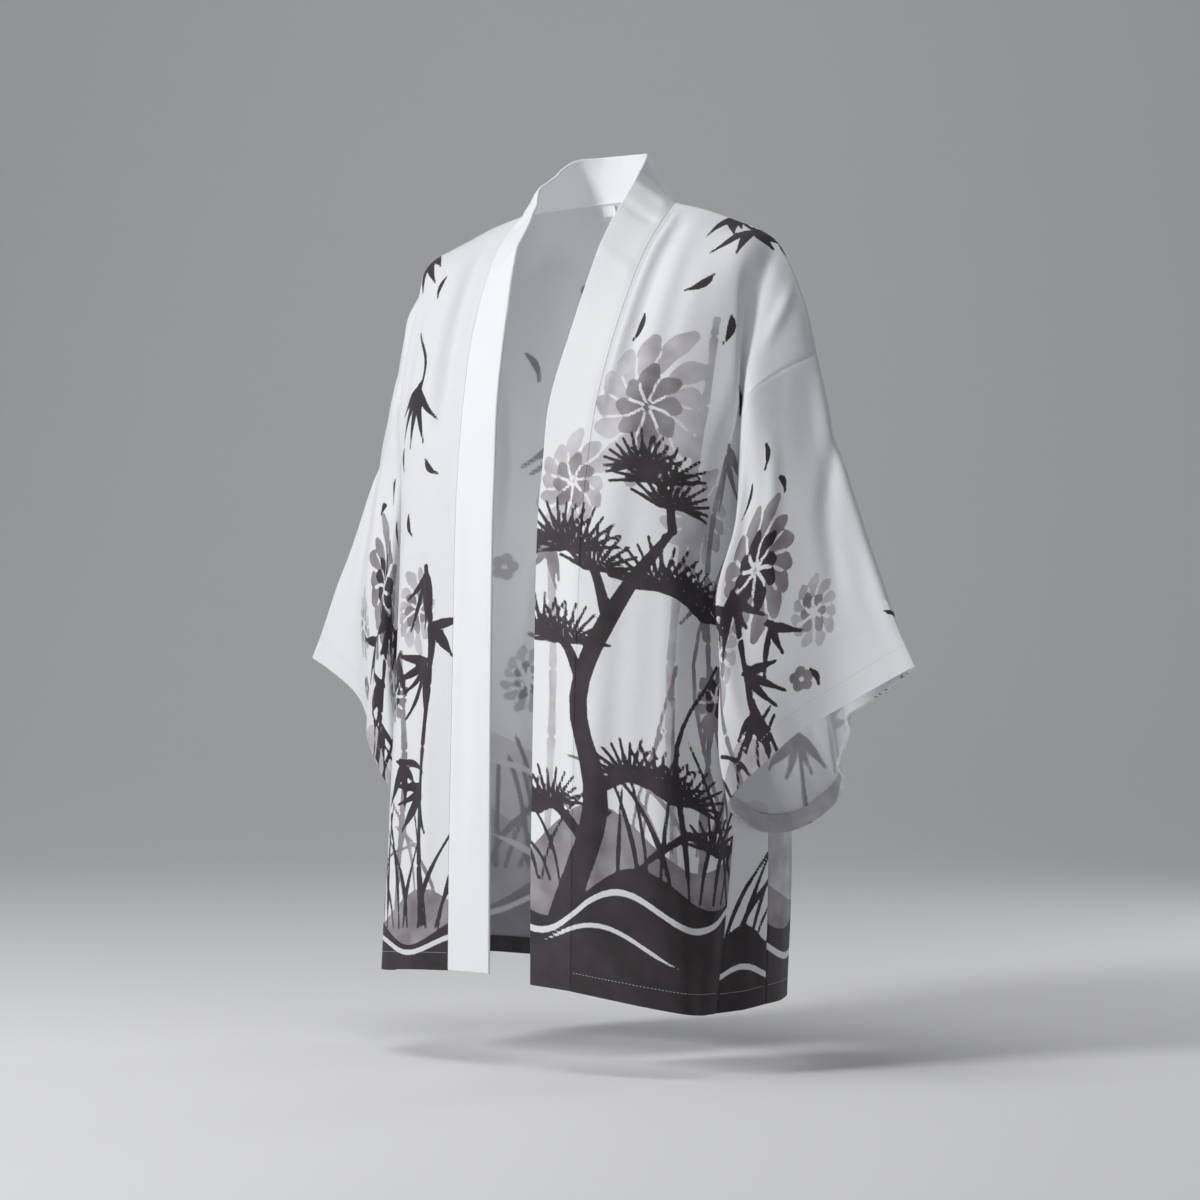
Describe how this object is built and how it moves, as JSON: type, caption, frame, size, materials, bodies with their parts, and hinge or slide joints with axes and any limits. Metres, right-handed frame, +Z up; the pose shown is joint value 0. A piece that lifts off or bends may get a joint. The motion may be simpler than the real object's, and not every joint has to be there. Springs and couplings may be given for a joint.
{
  "type": "kimono jacket",
  "caption": "Open haori-style kimono jacket with wide sleeves, a folded collar band, side gussets and a printed monochrome plant design, filled out as worn.",
  "frame": {"origin": "midway between the two points where the collar seam crosses the shoulders, where the wearer's shoulders hold the jacket up", "axes": "+X to the wearer's left, +Y to the wearer's back, +Z up"},
  "size_m": [0.7408, 0.2563, 0.8412],
  "materials": {
    "printed_cloth": "smooth white polyester crepe with a charcoal and grey print",
    "band_cloth": "smooth white polyester crepe, folded and pressed",
    "label_tape": "blank woven satin tape"
  },
  "bodies": {
    "root": {"back": "printed_cloth", "front_left": "printed_cloth", "front_right": "printed_cloth", "gusset_left": "printed_cloth", "gusset_right": "printed_cloth", "sleeve_left": "printed_cloth", "sleeve_right": "printed_cloth", "collar": "band_cloth", "neck_label": "label_tape"}
  },
  "joints": []
}
